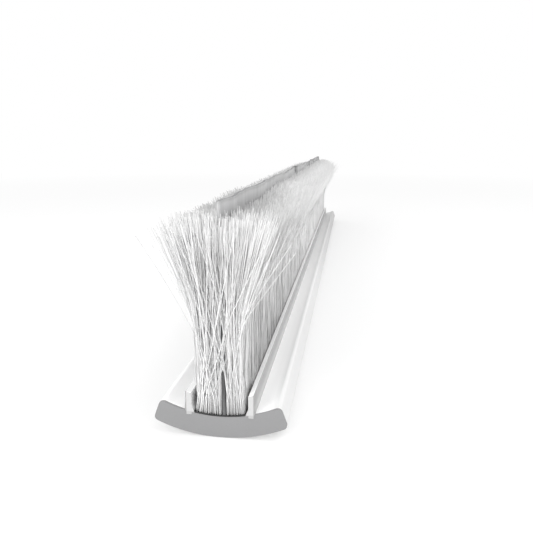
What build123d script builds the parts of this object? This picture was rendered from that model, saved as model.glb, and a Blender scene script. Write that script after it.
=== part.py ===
"""Brush seal strip: a curved plastic base with a grey cap on each end, and two upright rails that hold a
brush of loose filaments, which an upright membrane divides into two banks.

Frame, in millimetres: X across the strip, Y along it, Z up from the floor. The origin is under the middle
of the strip, on the lowest line of the convex back.
"""

import os
from math import pi, radians, sin, sqrt, tan

from build123d import *

# Strip
strip_length = 500.0

# Base: a band between two arcs of one centre, with slanted sides
back_radius = 52.0
base_thickness = 7.4
base_half_width = 22.5  # where the slanted side would meet the convex back
side_lean = 20.0  # degrees from upright
corner_radius = 1.6

# End caps
cap_thickness = 0.8

# Rails
rail_inner_x = 9.45  # from the middle plane to the rail's face beside the brush
rail_thickness = 1.95
rail_top_inner_z = 15.0
rail_top_rise = 0.7  # the top slopes up, away from the brush
rail_edge_round = 0.25
inner_foot_height = 2.4
inner_foot_width = 0.95
outer_foot_height = 3.2
outer_foot_width = 0.35
tongue_depth = 0.9
groove_clearance = 0.05

# Backing tray that the filaments are rooted in
tray_thickness = 0.4
tray_gap = 0.1
tray_lip_height = 0.5
seat_gap = 0.1  # under the tray, and under the filaments and the membrane

# Membrane between the two banks, a little right of the middle plane
membrane_x = 1.5
membrane_thickness = 1.1
membrane_flat_top_z = 40.0  # above this height it starts to wave
membrane_free_edge = ((-250.0, 77.5), (-40.0, 78.0), (60.0, 76.4), (250.0, 74.2))  # y and z
wave_height = 1.1
wave_count = 5
ripple_height = 0.5
ripple_count = 13
spare_height = 1.0  # how far the sheet runs past its free edge before it is trimmed

# Filament banks: the right bank's outline across the strip, as x and z. The left bank mirrors its flank.
flank_line = ((7.6, 14.5), (7.8, 27.0), (9.9, 39.0), (14.4, 49.0), (20.2, 57.5))
flank_tip = (23.4, 62.5)
crest_line = ((20.0, 67.8), (13.5, 70.6))
crest_z = 72.2
bank_root_gap = 0.2  # from the membrane and from the tray's lips
bank_top_gap = 1.5  # from the membrane, at the crest
end_fan = 4.0  # how far the filaments at each end lean out past the caps
fan_start_z = 28.0
lock_pitch = 6.2
lock_depth = 3.2
lock_lean = 0.3  # a lock's tip stands up to this share of a pitch off its middle
lock_stand = 0.25  # share of a lock's depth by which its tip stands past the bank's outline
gap_spread = 0.2  # share by which the gaps between locks differ in depth
tip_spread = 0.15  # share of a lock's depth by which the tips' heights differ

half_length = strip_length / 2
body_length = strip_length - 2 * cap_thickness
bank_reach = half_length + end_fan
front_radius = back_radius - base_thickness
rail_outer_x = rail_inner_x + rail_thickness
rail_top_outer_z = rail_top_inner_z + rail_top_rise
foot_inner_x = rail_inner_x - inner_foot_width
foot_outer_x = rail_outer_x + outer_foot_width
tray_reach = foot_inner_x - tray_gap
tray_top_lift = seat_gap + tray_thickness
root_lift = tray_top_lift + seat_gap


def front_z(x, lift=0.0):
    """Height of the base's hollow front face at x, or of a line that much above it."""
    return back_radius - sqrt((front_radius - lift) ** 2 - x**2)


def side_x(z):
    """Half width of the base at height z, where its side slants in towards the top."""
    side_foot_z = back_radius - sqrt(back_radius**2 - base_half_width**2)
    return base_half_width - (z - side_foot_z) * tan(radians(side_lean))


def section_plane(y):
    """A plane across the strip at y, whose own axes are the strip's X and Z. It faces the near end."""
    return Plane(origin=(0, y, 0), x_dir=(1, 0, 0), z_dir=(0, -1, 0))


def base_section():
    """The base across the strip: a ring cut by the slanted sides, with round corners and two grooves."""
    low_z = -base_thickness
    high_z = back_radius / 2
    with BuildSketch() as outline:
        with Locations((0, back_radius)):
            Circle(back_radius)
            Circle(front_radius, mode=Mode.SUBTRACT)
        Polygon(
            (-side_x(low_z), low_z),
            (side_x(low_z), low_z),
            (side_x(high_z), high_z),
            (-side_x(high_z), high_z),
            align=None,
            mode=Mode.INTERSECT,
        )
        fillet(outline.vertices(), corner_radius)
        groove_x = rail_inner_x + rail_thickness / 2
        groove_floor_z = front_z(rail_inner_x) - tongue_depth - groove_clearance
        with Locations((groove_x, groove_floor_z), (-groove_x, groove_floor_z)):
            Rectangle(
                rail_thickness + 2 * groove_clearance,
                base_thickness,
                align=(Align.CENTER, Align.MIN),
                mode=Mode.SUBTRACT,
            )
    return outline.sketch


def rail_section():
    """The right rail: a blade with a sloping top, a splayed foot on the hollow face, and a tongue below."""
    tongue_z = front_z(rail_inner_x) - tongue_depth
    with BuildSketch() as blade:
        with BuildLine():
            Polyline(
                (rail_inner_x, tongue_z),
                (rail_inner_x, front_z(rail_inner_x)),
                (foot_inner_x, front_z(foot_inner_x)),
                (rail_inner_x, front_z(foot_inner_x) + inner_foot_height),
                (rail_inner_x, rail_top_inner_z),
                (rail_outer_x, rail_top_outer_z),
                (rail_outer_x, front_z(foot_outer_x) + outer_foot_height),
                (foot_outer_x, front_z(foot_outer_x)),
                (rail_outer_x, front_z(rail_outer_x)),
                (rail_outer_x, tongue_z),
                close=True,
            )
        make_face()
        fillet(blade.vertices().sort_by(Axis.Y)[-2:], rail_edge_round)
    return blade.sketch


def tray_section():
    """The tray: a band along the hollow face, with a lip up the splayed foot of each rail."""
    edge_z = front_z(tray_reach, seat_gap)
    lip_x = tray_reach + tray_lip_height * inner_foot_width / inner_foot_height
    lip_z = edge_z + tray_lip_height
    corner_x = tray_reach - tray_thickness
    corner_z = front_z(corner_x, tray_top_lift)
    with BuildSketch() as band:
        with BuildLine():
            ThreePointArc((-tray_reach, edge_z), (0, front_z(0, seat_gap)), (tray_reach, edge_z))
            Polyline(
                (tray_reach, edge_z),
                (lip_x, lip_z),
                (lip_x - tray_thickness, lip_z),
                (corner_x, corner_z),
            )
            ThreePointArc((corner_x, corner_z), (0, front_z(0, tray_top_lift)), (-corner_x, corner_z))
            Polyline(
                (-corner_x, corner_z),
                (tray_thickness - lip_x, lip_z),
                (-lip_x, lip_z),
                (-tray_reach, edge_z),
            )
        make_face()
    return band.sketch


def bank_section(side):
    """One bank across the strip, on the right for side 1 and on the left for side -1: upright from the tray
    to the waist, splayed out to the tips, then over the crest and down beside the membrane."""
    inner_x = membrane_x + side * (membrane_thickness / 2 + bank_root_gap)
    inner_top_x = membrane_x + side * (membrane_thickness / 2 + bank_top_gap)
    outer_x = side * (tray_reach - tray_thickness - bank_root_gap)
    middle_x = (inner_x + outer_x) / 2
    root_outer = (outer_x, front_z(outer_x, root_lift))
    root_inner = (inner_x, front_z(inner_x, root_lift))
    with BuildSketch() as bank:
        with BuildLine():
            Spline(root_outer, *[(side * x, z) for x, z in flank_line])
            Polyline(
                (side * flank_line[-1][0], flank_line[-1][1]),
                (side * flank_tip[0], flank_tip[1]),
                *[(side * x, z) for x, z in crest_line],
                (inner_top_x, crest_z),
                (inner_x, membrane_flat_top_z),
                root_inner,
            )
            ThreePointArc(root_inner, (middle_x, front_z(middle_x, root_lift)), root_outer)
        make_face()
    return bank.sketch


def lock_line(phase):
    """A bank's locks as pairs of y and depth: deepest between two locks, shallow at a lock's tip. The tips
    lean along the strip by turns and reach unevenly."""
    count = round(2 * bank_reach / lock_pitch)
    pitch = 2 * bank_reach / count
    line = []
    for k in range(count):
        start_y = k * pitch - bank_reach
        tip_y = start_y + pitch * (0.5 + lock_lean * sin(2.4 * k + phase))
        line.append((start_y, lock_depth * (1 - gap_spread + gap_spread * sin(1.7 * k + phase))))
        line.append((tip_y, lock_depth * tip_spread * (1 + sin(5.1 * k + phase))))
    line.append((bank_reach, lock_depth))
    return line


def bank_side_view(phase):
    """A bank seen from the side: its ends lean out above the waist, and its locks make a saw-toothed crest."""
    crest = [(y, crest_z + lock_stand * lock_depth - depth) for y, depth in lock_line(phase)]
    with BuildSketch() as view:
        with BuildLine():
            Polyline(
                (-half_length, 0),
                (-half_length, fan_start_z),
                *crest,
                (half_length, fan_start_z),
                (half_length, 0),
                close=True,
            )
        make_face()
    return view.sketch


def bank_plan(side, phase):
    """A bank seen from above: its locks make a saw-toothed flank."""
    reach_x = flank_tip[0] + lock_stand * lock_depth
    flank = [(side * (reach_x - depth), y) for y, depth in lock_line(phase)]
    with BuildSketch() as plan:
        with BuildLine():
            Polyline((membrane_x, -bank_reach), *flank, (membrane_x, bank_reach), close=True)
        make_face()
    return plan.sketch


def bank_solid(side, phase):
    """One bank of filaments: its section run along the strip, trimmed to its side view and its plan."""
    with BuildPart() as bank:
        with BuildSketch(section_plane(bank_reach)):
            add(bank_section(side))
        extrude(amount=2 * bank_reach)
        with BuildSketch(Plane.YZ):
            add(bank_side_view(phase))
        extrude(amount=2 * base_half_width, both=True, mode=Mode.INTERSECT)
        with BuildSketch(Plane.XY):
            add(bank_plan(side, phase))
        extrude(amount=2 * crest_z, mode=Mode.INTERSECT)
    return bank.part


def wave_x(y):
    """How far the membrane's free edge strays sideways at y: a long wave with a shorter ripple on it."""
    turn = 2 * pi * (y + half_length) / strip_length
    return wave_height * sin(wave_count * turn) + ripple_height * sin(ripple_count * turn)


with BuildPart() as base:
    with BuildSketch(section_plane(body_length / 2)):
        add(base_section())
    extrude(amount=body_length)
base.part.label = "base_profile"

with BuildPart() as front_cap:
    with BuildSketch(section_plane(-body_length / 2)):
        add(base_section())
    extrude(amount=cap_thickness)
front_cap.part.label = "end_cap_front"

with BuildPart() as rear_cap:
    with BuildSketch(section_plane(half_length)):
        add(base_section())
    extrude(amount=cap_thickness)
rear_cap.part.label = "end_cap_rear"

with BuildPart() as right_rail:
    with BuildSketch(section_plane(half_length)):
        add(rail_section())
    extrude(amount=strip_length)
right_rail.part.label = "rail_right"

with BuildPart() as left_rail:
    with BuildSketch(section_plane(half_length)):
        mirror(rail_section(), about=Plane.YZ)
    extrude(amount=strip_length)
left_rail.part.label = "rail_left"

with BuildPart() as tray:
    with BuildSketch(section_plane(half_length)):
        add(tray_section())
    extrude(amount=strip_length)
tray.part.label = "backing_tray"

# The membrane stands flat between the banks, then runs up into a wavy free edge.
with BuildPart() as membrane:
    membrane_foot_z = front_z(membrane_x + membrane_thickness / 2, root_lift)
    highest_z = max(z for y, z in membrane_free_edge) + spare_height
    with BuildSketch(Plane.XY.offset(membrane_foot_z)):
        with Locations((membrane_x, 0)):
            Rectangle(membrane_thickness, strip_length)
    extrude(amount=membrane_flat_top_z - membrane_foot_z)
    with BuildSketch(Plane.XY.offset(membrane_flat_top_z)) as flat_line:
        with Locations((membrane_x, 0)):
            Rectangle(membrane_thickness, strip_length)
    with BuildSketch(Plane.XY.offset(highest_z)) as wavy_line:
        steps = 8 * ripple_count
        run = [k * strip_length / steps - half_length for k in range(steps + 1)]
        left_x = membrane_x - membrane_thickness / 2
        right_x = membrane_x + membrane_thickness / 2
        with BuildLine():
            Spline([(left_x + wave_x(y), y) for y in run])
            Spline([(right_x + wave_x(y), y) for y in run])
            Line((left_x, -half_length), (right_x, -half_length))
            Line((left_x, half_length), (right_x, half_length))
        make_face()
    loft([flat_line.sketch, wavy_line.sketch], ruled=True)
    with BuildSketch(Plane.YZ):
        with BuildLine():
            Spline(membrane_free_edge)
            Polyline(
                membrane_free_edge[-1],
                (half_length, 0),
                (-half_length, 0),
                membrane_free_edge[0],
            )
        make_face()
    extrude(amount=base_half_width, both=True, mode=Mode.INTERSECT)
membrane.part.label = "membrane"

right_bank = bank_solid(1, 0.4)
right_bank.label = "filaments_right"

left_bank = bank_solid(-1, 2.1)
left_bank.label = "filaments_left"

os.makedirs("parts", exist_ok=True)
export_step(base.part, "parts/base_profile.step")
export_step(front_cap.part, "parts/end_cap_front.step")
export_step(rear_cap.part, "parts/end_cap_rear.step")
export_step(right_rail.part, "parts/rail_right.step")
export_step(left_rail.part, "parts/rail_left.step")
export_step(tray.part, "parts/backing_tray.step")
export_step(membrane.part, "parts/membrane.step")
export_step(right_bank, "parts/filaments_right.step")
export_step(left_bank, "parts/filaments_left.step")
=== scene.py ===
"""A brush seal strip, dressed for rendering: white extruded base and rails, grey end caps, a black tray,
a grey membrane and two banks of loose white filaments. Lengths are in metres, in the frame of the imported
model: X to the right, Y along the strip from the near end, Z up through the brush."""

import math

import bpy
import numpy as np
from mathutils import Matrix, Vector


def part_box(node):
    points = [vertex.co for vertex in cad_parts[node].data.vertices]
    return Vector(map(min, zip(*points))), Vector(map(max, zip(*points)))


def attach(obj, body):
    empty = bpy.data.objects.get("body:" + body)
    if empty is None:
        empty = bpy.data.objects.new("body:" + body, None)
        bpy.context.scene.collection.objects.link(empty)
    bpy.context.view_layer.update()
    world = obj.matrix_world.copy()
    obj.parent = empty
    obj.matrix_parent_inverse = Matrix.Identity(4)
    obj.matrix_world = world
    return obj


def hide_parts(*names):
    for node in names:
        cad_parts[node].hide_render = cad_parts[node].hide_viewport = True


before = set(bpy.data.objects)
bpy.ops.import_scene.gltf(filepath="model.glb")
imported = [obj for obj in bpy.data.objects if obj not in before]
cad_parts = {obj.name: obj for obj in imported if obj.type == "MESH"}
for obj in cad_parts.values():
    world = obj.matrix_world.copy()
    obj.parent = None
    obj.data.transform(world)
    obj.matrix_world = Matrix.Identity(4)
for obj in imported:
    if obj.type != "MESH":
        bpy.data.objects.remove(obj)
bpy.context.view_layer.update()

# Base. A length of rigid white plastic drawn through a die, hollow on top. The die leaves faint lines along
# its run, and the skin between them is smooth but not quite glossy.

strip_end_y = 0.25
ridge_x = 0.018  # the round corner to the right of the hollow
corner_run = 0.0015
white = (1, 1, 1)
# The plastic is white; this grey is where its painted shade is deepest.
base_shade_grey = (0.46, 0.46, 0.46)


class Wire:
    """A socket in a material's node tree. Sums and products of wires and numbers add Math nodes."""

    def __init__(self, tree, socket=None):
        self.tree = tree
        self.socket = socket

    def node(self, kind, settings=None, inputs=None, output=0):
        """Add a node: first its settings, then a value or a wire for each of its sockets."""
        made = self.tree.nodes.new("ShaderNode" + kind)
        for name, value in (settings or {}).items():
            setattr(made, name, value)
        for name, value in (inputs or {}).items():
            if isinstance(value, Wire):
                self.tree.links.new(value.socket, made.inputs[name])
            else:
                made.inputs[name].default_value = value
        return Wire(self.tree, made.outputs[output]) if made.outputs else None

    def math(self, operation, *values):
        """A Math node on these wires and numbers."""
        return self.node("Math", {"operation": operation}, dict(enumerate(values)))

    def __add__(self, other):
        return self.math("ADD", self, other)

    def __mul__(self, other):
        return self.math("MULTIPLY", self, other)

    def __sub__(self, other):
        return self.math("SUBTRACT", self, other)

    def __rsub__(self, other):
        return self.math("SUBTRACT", other, self)

    __radd__ = __add__
    __rmul__ = __mul__

    def ramp(self, low, high):
        """0 where this wire is low, 1 where it is high, straight between the two."""
        return self.node("MapRange", {}, {"Value": self, "From Min": low, "From Max": high})

    def part(self, axis):
        """The X, Y or Z part of this vector."""
        return self.node("SeparateXYZ", {}, {0: self}, output=axis)

    def blend(self, low, high):
        """The colour that is low where this wire is 0 and high where it is 1."""
        settings = {"data_type": "RGBA", "clamp_factor": True}
        return self.node("Mix", settings, {0: self, 6: (*low, 1), 7: (*high, 1)}, output=2)

    def noise(self, scale, detail, stretch=(1, 1, 1)):
        """Noise from 0 to 1 at this place. A small stretch value draws it out along that axis."""
        place = self.node("VectorMath", {"operation": "MULTIPLY"}, {0: self, 1: stretch})
        return self.node("TexNoise", {}, {"Vector": place, "Scale": scale, "Detail": detail})

    def bump(self, distance):
        """The surface normal when this wire is a height of that distance."""
        return self.node("Bump", {}, {"Height": self, "Distance": distance})


def start_material(name):
    """A new material, and a wire with the place on the piece in metres to start its nodes from."""
    made = bpy.data.materials.new(name)
    made.use_nodes = True
    made.node_tree.nodes.clear()
    return made, Wire(made.node_tree).node("TexCoord", output="Object")


def close_material(wire, sockets):
    """End a material's nodes in one Principled shader with these sockets."""
    shader = wire.node("BsdfPrincipled", {}, sockets)
    wire.node("OutputMaterial", {}, {"Surface": shader})


def coat(material, *nodes):
    """Give CAD nodes this finish."""
    for name in nodes:
        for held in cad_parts[name].material_slots:
            held.material = material


base_plastic, place = start_material("white base plastic")
die_lines = place.noise(1500, 3, stretch=(1, 0.004, 1))
skin = place.noise(420, 4)
clouding = place.noise(35, 3, stretch=(1, 0.3, 1))
hollow_side = place.node("TexCoord", output="Normal").part("Z").ramp(0.72, 0.93)
ridge = place.part("X").ramp(ridge_x - corner_run, ridge_x + corner_run)
near_end = place.part("Y").ramp(-0.215, -strip_end_y) * place.part("X").ramp(0, 0.015)  # to the right
far_end = place.part("Y").ramp(-0.1, strip_end_y)
# The plastic is taken to be one white. This tone also holds the shade that the photograph shows on it, so its
# sides, its right ridge and its far end are painted greyer than the real ones presumably are.
# Painted shade also greys the right side of the hollow towards the near end.
hollow = hollow_side * (1 - 0.6 * ridge - 0.28 * near_end)
tone = 0.32 + 0.56 * hollow + 0.12 * clouding + 0.08 * die_lines - 0.6 * far_end
close_material(
    place,
    {
        "Base Color": tone.blend(base_shade_grey, white),
        "Roughness": 0.34 + 0.12 * die_lines,
        "Normal": (die_lines + 0.5 * skin).bump(0.000015),
        "IOR": 1.46,
        "Subsurface Weight": 0.1,
        "Subsurface Radius": (0.003, 0.003, 0.003),
    },
)
coat(base_plastic, "base_profile")

# End caps. A flat grey plate covers each end of the base, cut round the rails' tongues. Its face is matte
# with a fine moulded grain.

cap_dark_grey = (0.232, 0.232, 0.235)
cap_light_grey = (0.267, 0.267, 0.270)

cap_plastic, place = start_material("grey cap plastic")
grain = place.noise(1600, 2)
shade = place.noise(60, 4)
close_material(
    place,
    {
        "Base Color": (0.5 * grain + 0.5 * shade).blend(cap_dark_grey, cap_light_grey),
        "Roughness": 0.5 + 0.2 * shade,
        "Normal": grain.bump(0.00004),
    },
)
coat(cap_plastic, "end_cap_front", "end_cap_rear")

# Rails. Two upright blades of the same drawn plastic, one on each side of the brush, pushed into the base's
# grooves by their tongues.

rail_outer_x = 0.0114
rail_foot_z = 0.0106
rail_blade_z = 0.0126  # above the small foot on the outside
tongue_top_z = 0.0086
# The rails are white; this grey is where their painted shade is deepest.
rail_shade_grey = (0.30, 0.30, 0.30)

rail_plastic, place = start_material("rail plastic")
die_lines = place.noise(2200, 3, stretch=(1, 0.003, 1))
skin = place.noise(600, 3)
height = place.part("Z")
off_middle = place.math("ABSOLUTE", place.part("X"))
outer_face = off_middle.ramp(rail_outer_x - 0.0003, rail_outer_x - 0.0001)
outer_face = outer_face * (1.15 - 0.28 * height.ramp(rail_blade_z, rail_foot_z))
tongue = height.ramp(tongue_top_z + 0.0002, tongue_top_z - 0.0002)
end_face = place.math("ABSOLUTE", place.node("TexCoord", output="Normal").part("Y"))
near_end = place.part("Y").ramp(-0.243, -strip_end_y)
# Taken to be one white too. The outer and cut faces are painted as grey as the photograph shows them.
# The grey is painted shade, deepest high on the outer faces and less at their foot; painted shade also greys
# the near end a little. The tongue is a little greyer.
shaded = 0.8 * outer_face + 0.68 * end_face + 0.12 * tongue + 0.14 * near_end * (1 - end_face)
close_material(
    place,
    {
        "Base Color": (1.03 - shaded - 0.06 * die_lines).blend(rail_shade_grey, white),
        "Roughness": 0.3 + 0.14 * die_lines,
        "Normal": (die_lines + 0.4 * skin).bump(0.000015),
        "IOR": 1.46,
    },
)
coat(rail_plastic, "rail_left", "rail_right")

# Backing tray. A thin black plastic channel that the filaments are set in, with a low lip along each edge. It
# lies in the hollow of the base, between the rails.

tray_black = (0.012, 0.012, 0.012)
tray_scuffed = (0.035, 0.035, 0.035)

tray_plastic, place = start_material("black tray plastic")
scuffs = place.noise(900, 5, stretch=(1, 0.05, 1))
close_material(
    place,
    {
        "Base Color": scuffs.blend(tray_black, tray_scuffed),
        "Roughness": 0.4 + 0.25 * scuffs,
        "Normal": scuffs.bump(0.00005),
    },
)
coat(tray_plastic, "backing_tray")

# Membrane. A soft grey sheet stands in the brush, a little right of the middle. The filaments hold it
# straight as far as they reach, and its free edge above them waves and folds.

sheet_x = 0.0015
sheet_thickness = 0.0011
sheet_low, sheet_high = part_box("membrane")
sheet_held_z = 0.045  # straight up to here
sheet_wave_size = 1.15
sheet_steps_along = 320
sheet_steps_up = 26
sheet_last_row = 0.995
sheet_top_y = (-0.25, -0.17, -0.14, -0.11, -0.05, 0.0, 0.05, 0.10, 0.15, 0.20, 0.25)
sheet_top_z = (0.0775, 0.0776, 0.0772, 0.0767, 0.0765, 0.0766, 0.0754, 0.0758, 0.0750, 0.0755, 0.0750)
sheet_folds = (  # where along Y, how wide, how deep, how wide its shade is and how dark
    (-0.236, 0.008, 0.0010, 0.005, 0.12),
    (-0.150, 0.014, 0.0009, 0.010, 0.0),
    (-0.016, 0.004, -0.0017, 0.005, 0.85),
    (0.090, 0.006, 0.0010, 0.010, 0.7),
    (0.150, 0.006, -0.0014, 0.014, 1.0),
    (0.237, 0.005, -0.0012, 0.024, 1.1),
)
# The darkest grey is for the sheet's painted shade.
sheet_shade_grey = (0.08, 0.08, 0.082)
sheet_light_grey = (0.80, 0.80, 0.805)
cut_edge_shade_dark = (0.16, 0.16, 0.162)
cut_edge_shade_light = (0.30, 0.30, 0.303)


def ease(share):
    """A smooth step from 0 to 1 as share goes from 0 to 1."""
    share = np.clip(share, 0, 1)
    return share * share * (3 - 2 * share)


def step(value, low, high):
    """0 where value is low, 1 where it is high, in a smooth step between the two."""
    return ease((value - low) / (high - low))


def bell(off, width):
    """1 where off is 0, dying away to both sides over about this width."""
    return np.exp(-((off / width) ** 2))


def sheet_sway(y, z):
    """How far the membrane stands off its straight line at y and z: long waves, ripples and sharp folds."""
    sway = 0.0007 * np.sin(62 * y + 0.4) + 0.0004 * np.sin(141 * y + 2.0) + 0.0002 * np.sin(317 * y)
    for fold_y, fold_width, fold_depth, _, _ in sheet_folds:
        sway = sway + fold_depth * bell(y - fold_y, fold_width)
    return sway * step(z, sheet_held_z, sheet_high.z) * sheet_wave_size


def sheet_shade(y, slope):
    """How dark the folds are painted, after the photograph: where the sheet turns away, and in the sharp
    folds all the way up."""
    folded = -4 * slope - 0.4
    for fold_y, _, _, shade_width, shade in sheet_folds:
        folded = np.maximum(folded, shade * bell(y - fold_y, shade_width))
    return np.clip(folded, 0, 1)


def add_piece(name, mesh):
    """Put a mesh in the scene as a piece of this name."""
    piece = bpy.data.objects.new(name, mesh)
    bpy.context.scene.collection.objects.link(piece)
    return piece


# The rows of points lie closest at the root and at the free edge, where one last thin row keeps it crisp.
along = np.linspace(sheet_low.y, sheet_high.y, sheet_steps_along + 1)
up = np.append(ease(np.linspace(0, 1, sheet_steps_up)) ** 0.8 * sheet_last_row, 1)
y, share = np.meshgrid(along, up, indexing="ij")
z = sheet_low.z + share * (np.interp(y, sheet_top_y, sheet_top_z) - sheet_low.z)
middle = sheet_x + sheet_sway(y, z)
faces = [np.stack([middle + side * sheet_thickness / 2, y, z], axis=-1) for side in (-1, 1)]
points = np.concatenate([face.reshape(-1, 3) for face in faces])
left, right = np.arange(len(points)).reshape(2, sheet_steps_along + 1, sheet_steps_up + 1)
rim = np.concatenate([left[:, 0], left[-1, 1:], left[-2::-1, -1], left[0, -2:0:-1]])
rim_right = rim + left.size
quads = [
    np.stack([left[:-1, :-1], left[:-1, 1:], left[1:, 1:], left[1:, :-1]], axis=-1).reshape(-1, 4),
    np.stack([right[:-1, :-1], right[1:, :-1], right[1:, 1:], right[:-1, 1:]], axis=-1).reshape(-1, 4),
    np.stack([rim, np.roll(rim, -1), np.roll(rim_right, -1), rim_right], axis=-1),
]
sheet = bpy.data.meshes.new("membrane_sheet")
sheet.from_pydata(points.tolist(), [], np.concatenate(quads).tolist())
sheet.validate()

# The rim runs along the bottom and up the far end before it comes to the free edge, which was cut.
first_cut = len(quads[0]) + len(quads[1]) + sheet_steps_along + sheet_steps_up
is_cut = np.zeros(len(sheet.polygons), dtype=np.int32)
is_cut[first_cut : first_cut + sheet_steps_along] = 1
sheet.polygons.foreach_set("material_index", is_cut)
folded = sheet_shade(y, np.gradient(middle, along, axis=0)).astype(np.float32).reshape(-1)
sheet.attributes.new("folded", "FLOAT", "POINT").data.foreach_set("value", np.tile(folded, 2))
sheet.shade_smooth()
membrane = add_piece("membrane_sheet", sheet)

sheet_rubber, place = start_material("grey membrane")
streaks = place.noise(300, 4, stretch=(1, 1, 0.08))
clouding = place.noise(70, 3)
height = place.part("Z")
in_brush = height.ramp(0.06, 0.02)
level = height + 0.005 * place.part("Y")  # the free edge is lower at the far end
among_tips = level.ramp(0.0745, 0.069)
edge_band = level.ramp(0.0752, 0.0760)
folded = place.node("Attribute", {"attribute_name": "folded"}, output="Fac")
# Painted shade: darker low in the brush, among the strands' tips, along the free edge and in the folds.
shaded = 0.33 * in_brush + 0.25 * among_tips + 0.15 * edge_band + 0.45 * folded
tone = 0.335 + 0.3 * streaks + 0.2 * clouding - shaded
close_material(
    place,
    {
        "Base Color": tone.blend(sheet_shade_grey, sheet_light_grey),
        "Roughness": 0.45 + 0.2 * streaks,
        "Normal": streaks.bump(0.00015),
        "Subsurface Weight": 0.3,
        "Subsurface Radius": (0.002, 0.002, 0.002),
    },
)
membrane.data.materials.append(sheet_rubber)

# The cut edge is painted dark grey, as shade along the free edge.
cut_rubber, place = start_material("cut edge of the membrane")
nicks = place.noise(2500, 3, stretch=(1, 1, 0.2))
close_material(
    place,
    {
        "Base Color": nicks.blend(cut_edge_shade_dark, cut_edge_shade_light),
        "Roughness": 0.6 + 0.2 * nicks,
        "Normal": nicks.bump(0.0001),
    },
)
membrane.data.materials.append(cut_rubber)
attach(membrane, "root")
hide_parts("membrane")

# Filament banks. Thousands of white nylon filaments are rooted in the tray on both sides of the membrane.
# They are gathered just above the root, stand close as far as the waist, and then splay out in loose locks.
# Where a value has two sides, -1 is the left bank and 1 the right one.

strand_radius = 0.00017
strand_tip_share = 0.62  # of the radius
strand_sides = 3
tray_floor_radius = 0.0441  # the tray's upper face, an arc about the base's own centre
tray_floor_centre_z = 0.052
bank_end_y = 0.2498
bank_outer_x = 0.0082
bank_gap = 0.00025  # between the membrane and the first strands
bank_strands = (("left", -1, 10900), ("right", 1, 7500))  # in each of the three lengths below
bank_lengths = (("front", -bank_end_y, -0.1), ("middle", -0.1, 0.075), ("rear", 0.075, bank_end_y))
golden = (math.sqrt(5) - 1) / 2  # this step from strand to strand spreads the roots evenly across a bank
root_scatter = 0.02  # of a bank's width
lock_size = 0.0022
core_bends = np.array((0, 0.5, 1))
shell_bends = np.array((0, 0.09, 0.25, 0.43, 0.6, 0.79, 1))
shell_depth = 0.0008  # strands this near the flank are drawn with the shell's bends
shell_end_depth = 0.0032  # and so are those this near an end
map_margin = 0.08  # round each strand's cell of the flat map

gather_run = 0.0055  # how far up a strand its root leans towards the others
front_gather = {-1: 0.22, 1: -0.08}  # the outermost strand's slope there, inwards at the front end
rail_gather = 0.20  # and outwards between the rails
rail_hold_run = {-1: 0.006, 1: 0.014}  # how far behind the front end the rails hold the strands
waist_run = 0.028
front_waist_x = {-1: 0.0068, 1: 0.0076}
rail_waist_x = 0.0094
waist_share = 0.97  # of their gathered distance from the middle, the strands pass the waist at this
rail_waist_loss = 0.06  # less this between the rails
waist_spread = 0.0006  # how far to a side chance takes them on the way
rail_spread_loss = 0.0003  # less this between the rails
end_spread = 0.0030  # and more by this at the very ends
end_run = 0.004

widest_splay = 0.62  # a slope, as all are down to strand_wobble
inner_splay_chance = 0.06
splay_chance = 0.03
along_splay_chance = 0.12
lock_splay_x = 0.04
lock_splay_y = 0.05
stray_splay = (-0.46, -0.34)
end_lean = 0.16
strand_wobble = 0.015
stray_share = 0.10  # of the outermost strands on the left, at the front end
stray_run = 0.03
stray_out = -0.75
bend_start = 0.023  # how far up a strand
bend_length = 0.026
stray_bend_start = 0.026
stray_bend_length = 0.010

crest_y = (-0.25, -0.228, -0.19, -0.15, -0.10, 0.0, 0.10, 0.20, 0.25)
crest_z = (0.0740, 0.0726, 0.0726, 0.0738, 0.0732, 0.0730, 0.0727, 0.0725, 0.0722)
left_crest_drop = 0.0010
over_crest = 0.0005  # the longest strands pass the crest by this, and chance makes the others shorter
short_of_crest = 0.0024
much_shorter = 0.006
flank_shorter = 0.009
lock_length = 0.0005
parted_z = 0.027  # below this the strands past the sheet's ends don't cross its line either

shell_least_shade = 0.65  # a strand's own tone is this at least, and 1 at most
# The inner strands are painted a little darker than the shell: painted shade.
core_least_shade = 0.62
# Further along, the strands' tones are painted lighter as well as less varied: painted light.
far_least_shade = 0.72
flank_shade = 0.83  # the right flank's strands come near this tone
shade_run = 0.45  # how far along the strands' tones come to differ least
shaded_from = 0.003  # how far behind the front end the strands start to be greyer
shaded_run = 0.012
# The nylon is white; this grey is where its painted shade is deepest.
nylon_shade_grey = (0.48, 0.48, 0.48)


def between(low, high, share):
    """low where share is 0, high where it is 1."""
    return low + (high - low) * share


def lock_habits(root_x, root_y, random):
    """Strands rooted in the same small patch lean the same way. Each strand's share of its lock's lean
    along X and Y, and of its lock's extra length, all spread evenly about 0."""
    patch_x = np.floor(root_x / lock_size + np.sin(root_y * 700))
    patch_y = np.floor(root_y / lock_size)
    _, lock = np.unique(np.stack([patch_x, patch_y]), axis=1, return_inverse=True)
    lock = lock.reshape(-1)
    return random.normal(0, 1, (3, lock.max() + 1))[:, lock]


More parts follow.
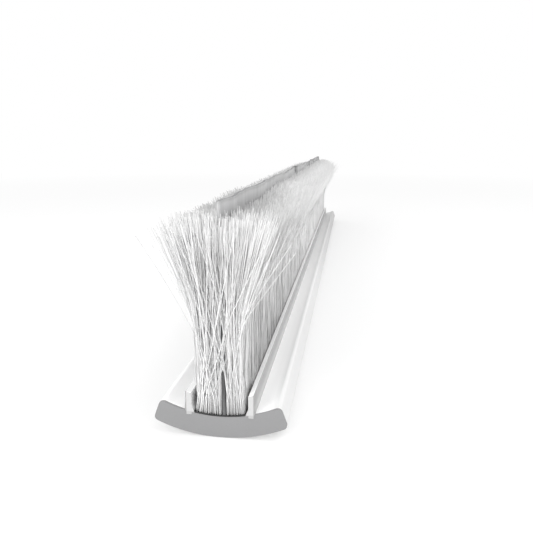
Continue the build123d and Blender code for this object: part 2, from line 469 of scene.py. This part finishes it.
def lean_to_waist(side, root_x, outness, from_front, at_end, random):
    """How each strand gets from its root to the waist: its slope along X where the roots are gathered, its
    slope above that, and where it passes the waist, from -1 at the left flank to 1 at the right one."""
    in_rails = step(from_front, 0, rail_hold_run[side])
    gather_x = between(front_gather[side], rail_gather * side, in_rails) * outness**2
    gathered_x = root_x + gather_x * gather_run
    waist = between(front_waist_x[side], rail_waist_x, in_rails)
    spread = waist_spread - rail_spread_loss * in_rails * outness**4 + end_spread * at_end
    crossing_x = gathered_x * (waist_share - rail_waist_loss * in_rails * outness**2)
    crossing_x = crossing_x + random.normal(0, 1, len(root_x)) * spread
    turned_back_x = 2 * waist * np.sign(crossing_x) - crossing_x
    crossing_x = np.where(np.abs(crossing_x) > waist, turned_back_x, crossing_x)
    rise_x = (crossing_x - gathered_x) / (waist_run - gather_run)
    out = (crossing_x - sheet_x) / np.where(crossing_x > sheet_x, waist - sheet_x, waist + sheet_x)
    return gather_x, rise_x, np.clip(out, -1, 1)


def splay_from_waist(out, rise_x, from_front, lock, random):
    """Each strand's slope along X above the waist, how far up it starts to bend and how far it bends. The
    strands splay least at the front end. A few at its left side stray: they bend late and far out."""
    opening = 0.20 + 0.28 * step(from_front, 0, 0.045) + 0.50 * step(from_front, 0, 0.30)
    opening = np.where(out > 0, 0.30 + 0.58 * opening, 0.13 + 0.86 * opening)
    splay_x = widest_splay * np.sign(out) * np.abs(out) ** 1.3 * opening
    splay_x = splay_x + random.normal(0, splay_chance + inner_splay_chance * (1 - np.abs(out)))
    splay_x = splay_x + lock_splay_x * lock[0] + 0.5 * rise_x
    stray = random.random(len(out)) < stray_share * np.exp(-from_front / stray_run)
    stray = stray & (out < stray_out)
    splay_x = np.where(stray, random.uniform(*stray_splay, len(out)), splay_x)
    bend_from = bend_start - 0.005 * step(from_front, 0, 0.25)
    bend_from = np.where(stray, stray_bend_start, bend_from)
    bend_run = np.where(stray, stray_bend_length, bend_length)
    return splay_x, bend_from, bend_run


def strand_lengths(side, root, outness, from_front, out, lock, random):
    """How long each strand is from its root to the crest. Most are a little short of it, a few are much
    shorter, and so are those that splay out of the right flank."""
    tip_z = np.interp(root[:, 1], crest_y, crest_z)
    if side < 0:
        tip_z = tip_z - left_crest_drop * (step(from_front, 0, 0.1) + step(from_front, 0.08, 0.18))
    length = tip_z - root[:, 2] + over_crest
    length = length - short_of_crest * np.abs(random.normal(0, 1, len(root))) + lock_length * lock[2]
    length = length - much_shorter * random.random(len(root)) ** 4
    return length - flank_shorter * (out > 0) * outness**5 * step(from_front, 0, 0.2)


def beside_sheet(side, point):
    """These points, moved clear of the membrane where they are past it. Beyond its ends they may cross over,
    except low down."""
    stop_x = sheet_x + sheet_sway(point[:, 1], point[:, 2]) + side * (sheet_thickness / 2 + strand_radius)
    stops = (np.abs(point[:, 1]) < sheet_high.y) | (point[:, 2] < parted_z)
    past = side * (point[:, 0] - stop_x) < 0
    point[:, 0] = np.where(stops & past, stop_x, point[:, 0])
    return point


def strand_paths(side, root_x, root_y, lock, bends, random):
    """Each strand's points from root to tip. It may bend at each share of its length that bends gives."""
    count = len(root_x)
    root_z = tray_floor_centre_z - np.sqrt(tray_floor_radius**2 - root_x**2)
    root = np.stack([root_x, root_y, root_z], axis=-1)
    outness = np.clip((root_x - sheet_x) / (side * bank_outer_x - sheet_x), 0, 1)
    from_front = root_y + bank_end_y
    from_rear = bank_end_y - root_y
    at_end = np.exp(-np.minimum(from_front, from_rear) / end_run)
    gather_x, rise_x, out = lean_to_waist(side, root_x, outness, from_front, at_end, random)
    splay_x, bend_from, bend_run = splay_from_waist(out, rise_x, from_front, lock, random)
    splay_y = random.normal(0, along_splay_chance, count) + lock_splay_y * lock[1]
    lean_y = random.uniform(0.0, end_lean, count) * np.where(from_front < from_rear, -1, 1) * at_end
    length = strand_lengths(side, root, outness, from_front, out, lock, random)

    points = [root]
    for low, high in zip(bends[:-1], bends[1:]):
        run = (low + high) / 2 * length
        bent = ease((run - bend_from) / bend_run)
        slope_x = np.where(run > gather_run, rise_x * (1 - 0.5 * bent), gather_x) + splay_x * bent
        slope_x = slope_x + random.normal(0, strand_wobble, count)
        slope_y = lean_y + splay_y * bent + random.normal(0, strand_wobble, count)
        way = np.stack([slope_x, slope_y, np.ones(count)], axis=-1)
        way /= np.linalg.norm(way, axis=-1, keepdims=True)
        points.append(beside_sheet(side, points[-1] + way * ((high - low) * length)[:, None]))
    return np.stack(points, axis=1)


def strand_shades(paths, least_shade, random):
    """The tone of each point of each strand: the strand's own, less the shade that the photograph shows
    there. The nylon is taken to be white all along, so this shade is paint, fitted to that one view."""
    x, z = paths[:, :, 0], paths[:, :, 2]
    root_x = paths[:, :1, 0]
    from_front = paths[:, :1, 1] + bank_end_y
    # The strand's own tone holds painted light too: lighter further along, a little darker for inner strands.
    least = between(least_shade, far_least_shade, step(from_front, 0, shade_run))
    own = least + (1 - least) * random.random(len(paths))[:, None]
    in_right_flank = step(root_x, 0.006, 0.007) * ease((from_front - shaded_from) / shaded_run)
    own = own + 0.6 * (flank_shade - own) * in_right_flank

    starts = shaded_from + 0.02 * (root_x < 0) - 0.003 * step(root_x, 0.005, 0.007)
    behind = ease((from_front - starts) / shaded_run)
    far = step(from_front, 0, 0.3)
    first_part = step(from_front, 0.12, 0)
    near = step(from_front, 0.028, 0)

    # Behind the front end, a little all the way up, more in the lower half and most near the roots.
    greyer = (0.68 - 0.54 * far) * behind * step(z, 0.057, 0)
    greyer = greyer + 0.30 * behind * step(z, 0.028, 0.016) + 0.06 * behind * (1 - far)
    # Among the tips, behind the first few rows.
    among_tips = step(z, 0.045, 0.070) * (1 - 0.3 * step(x, 0.008, 0.014))
    greyer = greyer + (0.38 + 0.05 * far + 0.38 * first_part - 0.51 * near) * among_tips
    # Far out to the left, and low down at the front end, more so on its right side.
    greyer = greyer + (0.20 + 0.25 * behind) * step(-x, 0.0048, 0.0168)
    greyer = greyer + (0.06 * near + 0.14 * (1 - behind) * step(x, 0, 0.005)) * step(z, 0.045, 0)
    # The right flank is lighter again below the tips, and so is the left one behind the front end.
    right_flank = step(x, 0, 0.010) * step(z, 0.068, 0.058)
    greyer = greyer - (0.3 * far + 0.06 * step(z, 0.03, 0.05)) * right_flank
    left_flank = step(-root_x, 0.003, 0.007) * step(from_front, 0.03, 0.06) * step(z, 0.072, 0.062)
    return own - greyer * (1 - 0.8 * left_flank)


def strand_faces(rings):
    """The faces of one strand, its two ends and then its sides: the point numbers of all of them in a row,
    and how many points each has."""
    number = np.arange(rings * strand_sides).reshape(rings, strand_sides)
    after = np.roll(number, -1, axis=1)
    quads = np.stack([number[:-1], after[:-1], after[1:], number[1:]], axis=-1).reshape(-1)
    corners = np.concatenate([number[0][::-1], number[-1], quads])
    sizes = np.array([strand_sides] * 2 + [4] * ((rings - 1) * strand_sides))
    return corners, sizes


def strand_map(rings, cell, grid):
    """The flat map of strands: each lies in a cell of its own, and cell says in which of the grid."""
    across = np.arange(strand_sides)
    quad_u = np.stack([across, across + 1, across + 1, across], axis=-1) / strand_sides
    quad_u = between(map_margin, 1 - map_margin, quad_u)
    quad_u = np.broadcast_to(quad_u, (rings - 1, strand_sides, 4)).reshape(-1)
    height = np.linspace(map_margin, 1 - map_margin, rings)
    quad_v = np.stack([height[:-1], height[:-1], height[1:], height[1:]], axis=-1)
    quad_v = np.repeat(quad_v, strand_sides, axis=0).reshape(-1)
    end_u = (0.2, 0.8, 0.5) * 2
    end_v = (0.1, 0.1, 0.3, 0.7, 0.7, 0.9)
    map_u = (np.concatenate([end_u, quad_u])[None, :] + cell % grid) / grid
    map_v = (np.concatenate([end_v, quad_v])[None, :] + cell // grid) / grid
    return np.stack([map_u, map_v], axis=-1).reshape(-1, 2)


def strand_mesh(name, groups, random):
    """A mesh of closed three-sided strands, with their shades and their map."""
    grid = math.ceil(math.sqrt(sum(len(paths) for paths, _ in groups)))
    all_points, all_corners, all_sizes, all_map, all_shades = [], [], [], [], []
    first_strand = first_point = 0
    for paths, least_shade in groups:
        count, rings = paths.shape[:2]
        turn = random.uniform(0, 2 * math.pi, count)[:, None]
        turn = turn + np.arange(strand_sides) * 2 * math.pi / strand_sides
        ring = np.stack([np.cos(turn), np.sin(turn), np.zeros_like(turn)], axis=-1) * strand_radius
        taper = np.linspace(1.0, strand_tip_share, rings)[None, :, None, None]
        all_points.append((paths[:, :, None, :] + ring[:, None, :, :] * taper).reshape(-1, 3))
        corners, sizes = strand_faces(rings)
        start = first_point + np.arange(count)[:, None] * rings * strand_sides
        all_corners.append((corners[None, :] + start).reshape(-1))
        all_sizes.append(np.tile(sizes, count))
        all_map.append(strand_map(rings, first_strand + np.arange(count)[:, None], grid))
        shades = strand_shades(paths, least_shade, random)
        all_shades.append(np.repeat(shades.reshape(-1), strand_sides))
        first_point += count * rings * strand_sides
        first_strand += count

    points = np.concatenate(all_points).astype(np.float32)
    corners = np.concatenate(all_corners).astype(np.int32)
    sizes = np.concatenate(all_sizes)
    flat_map = np.concatenate(all_map).astype(np.float32)
    shades = np.concatenate(all_shades).astype(np.float32)
    mesh = bpy.data.meshes.new(name)
    mesh.vertices.add(len(points))
    mesh.vertices.foreach_set("co", points.ravel())
    mesh.loops.add(len(corners))
    mesh.loops.foreach_set("vertex_index", corners)
    mesh.polygons.add(len(sizes))
    mesh.polygons.foreach_set("loop_start", (np.cumsum(sizes) - sizes).astype(np.int32))
    mesh.update(calc_edges=True)
    mesh.uv_layers.new(name="OFBake").uv.foreach_set("vector", flat_map.ravel())
    mesh.attributes.new("strand_shade", "FLOAT", "POINT").data.foreach_set("value", shades)
    mesh.shade_smooth()
    return mesh


nylon, place = start_material("white nylon filament")
strand_shade = place.node("Attribute", {"attribute_name": "strand_shade"}, output="Fac")
mottling = place.noise(2400, 2, stretch=(1, 1, 0.04))
close_material(
    place,
    {
        "Base Color": (strand_shade + 0.3 * mottling - 0.15).blend(nylon_shade_grey, white),
        "Roughness": 0.35,
        "IOR": 1.53,
    },
)

for bank, side, strands in bank_strands:
    inner_x = sheet_x + side * (sheet_thickness / 2 + bank_gap + strand_radius)
    outer_x = side * bank_outer_x
    for length, low_y, high_y in bank_lengths:
        random = np.random.default_rng([strands, int(1000 * (high_y + 1))])
        root_y = np.sort(random.uniform(low_y, high_y, strands))
        share_x = (np.arange(strands) * golden + random.normal(0, root_scatter, strands)) % 1
        root_x = between(inner_x, outer_x, share_x)
        lock = lock_habits(root_x, root_y, random)
        shell = np.abs(root_x) > bank_outer_x - shell_depth
        shell = shell | (np.abs(root_y) > bank_end_y - shell_end_depth)
        groups = [
            (strand_paths(side, root_x[pick], root_y[pick], lock[:, pick], bends, random), least_shade)
            for pick, bends, least_shade in (
                (shell, shell_bends, shell_least_shade),
                (~shell, core_bends, core_least_shade),
            )
        ]
        name = f"filaments_{bank}_{length}"
        piece = add_piece(name, strand_mesh(name, groups, random))
        piece.data.materials.append(nylon)
        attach(piece, "root")
        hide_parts(f"filaments_{bank}")

# Floor. A wide white studio floor. What the camera sees of it is part light of its own, so it stays near
# white and still keeps a faint shadow of the strip.

floor_span = 12
floor_white = (0.86, 0.86, 0.86, 1)
glow_near = 0.4  # how much of what is seen is the floor's own light, near the strip and far from it
glow_far = 1.0
glow_near_to = 0.3
glow_far_from = 1.2


def seen_rays(wire):
    """1 for what the camera sees, straight or by way of a gloss or a clear piece, and 0 for other light."""
    seen = wire.node("LightPath", output="Is Camera Ray") + wire.node("LightPath", output="Is Glossy Ray")
    return seen + wire.node("LightPath", output="Is Transmission Ray")


bpy.ops.mesh.primitive_plane_add(size=floor_span)
floor = bpy.context.object
floor.name = "studio_floor"
floor_paint, place = start_material("white floor")
lit = place.node("BsdfDiffuse", {}, {"Color": floor_white})
glow = place.node("Emission", {}, {"Color": (*white, 1), "Strength": 1.0})
off = place.node("VectorMath", {"operation": "LENGTH"}, {0: place}, output="Value")
share = glow_near + (glow_far - glow_near) * off.ramp(glow_near_to, glow_far_from)
both = place.node("MixShader", {}, {0: seen_rays(place) * share, 1: lit, 2: glow})
place.node("OutputMaterial", {}, {"Surface": both})
floor.data.materials.append(floor_paint)

# Light. A white room and three large soft lamps near the strip's near end: one to its left, one in front of
# it and one high up to its right. The far end is dimmer than the near one.

lamp_size = 0.5
near_end_place = (0, -0.2, 0.04)

room = bpy.data.worlds.new("white room")
room.use_nodes = True
room.node_tree.nodes.clear()
start = Wire(room.node_tree)
sky = start.node("Background", {}, {"Color": (*white, 1), "Strength": 0.95 + 0.05 * seen_rays(start)})
start.node("OutputWorld", {}, {"Surface": sky})
bpy.context.scene.world = room


def soft_lamp(name, place, target, watts):
    """A square lamp that shines from place at target."""
    lamp = bpy.data.lights.new(name, "AREA")
    lamp.size = lamp_size
    lamp.energy = watts
    held = bpy.data.objects.new(name, lamp)
    held.location = place
    x, y, z = np.subtract(place, target)
    held.rotation_euler = (math.atan2(math.hypot(x, y), z), 0, math.atan2(x, -y))
    bpy.context.scene.collection.objects.link(held)


soft_lamp("left_lamp", (-0.45, -0.95, 0.48), near_end_place, 3.8)
soft_lamp("front_lamp", (0.05, -0.95, 0.65), near_end_place, 1.4)
soft_lamp("top_lamp", (0.42, -0.35, 0.9), (0.01, -0.15, 0.02), 2.9)

# Camera. It looks down at the near end from in front and to the right, as in the photograph. Its place and
# lens were fitted to the strip's long edges and its near end.

camera = bpy.data.cameras.new("camera")
camera.lens = 37.52
camera.sensor_width = 36
camera.clip_start = 0.01
seat = bpy.data.objects.new("camera", camera)
seat.location = (0.03972, -0.41116, 0.09587)
seat.rotation_euler = (math.radians(76.974), 0, math.radians(8.578))
bpy.context.scene.collection.objects.link(seat)
bpy.context.scene.camera = seat
bpy.context.scene.view_settings.view_transform = "Standard"
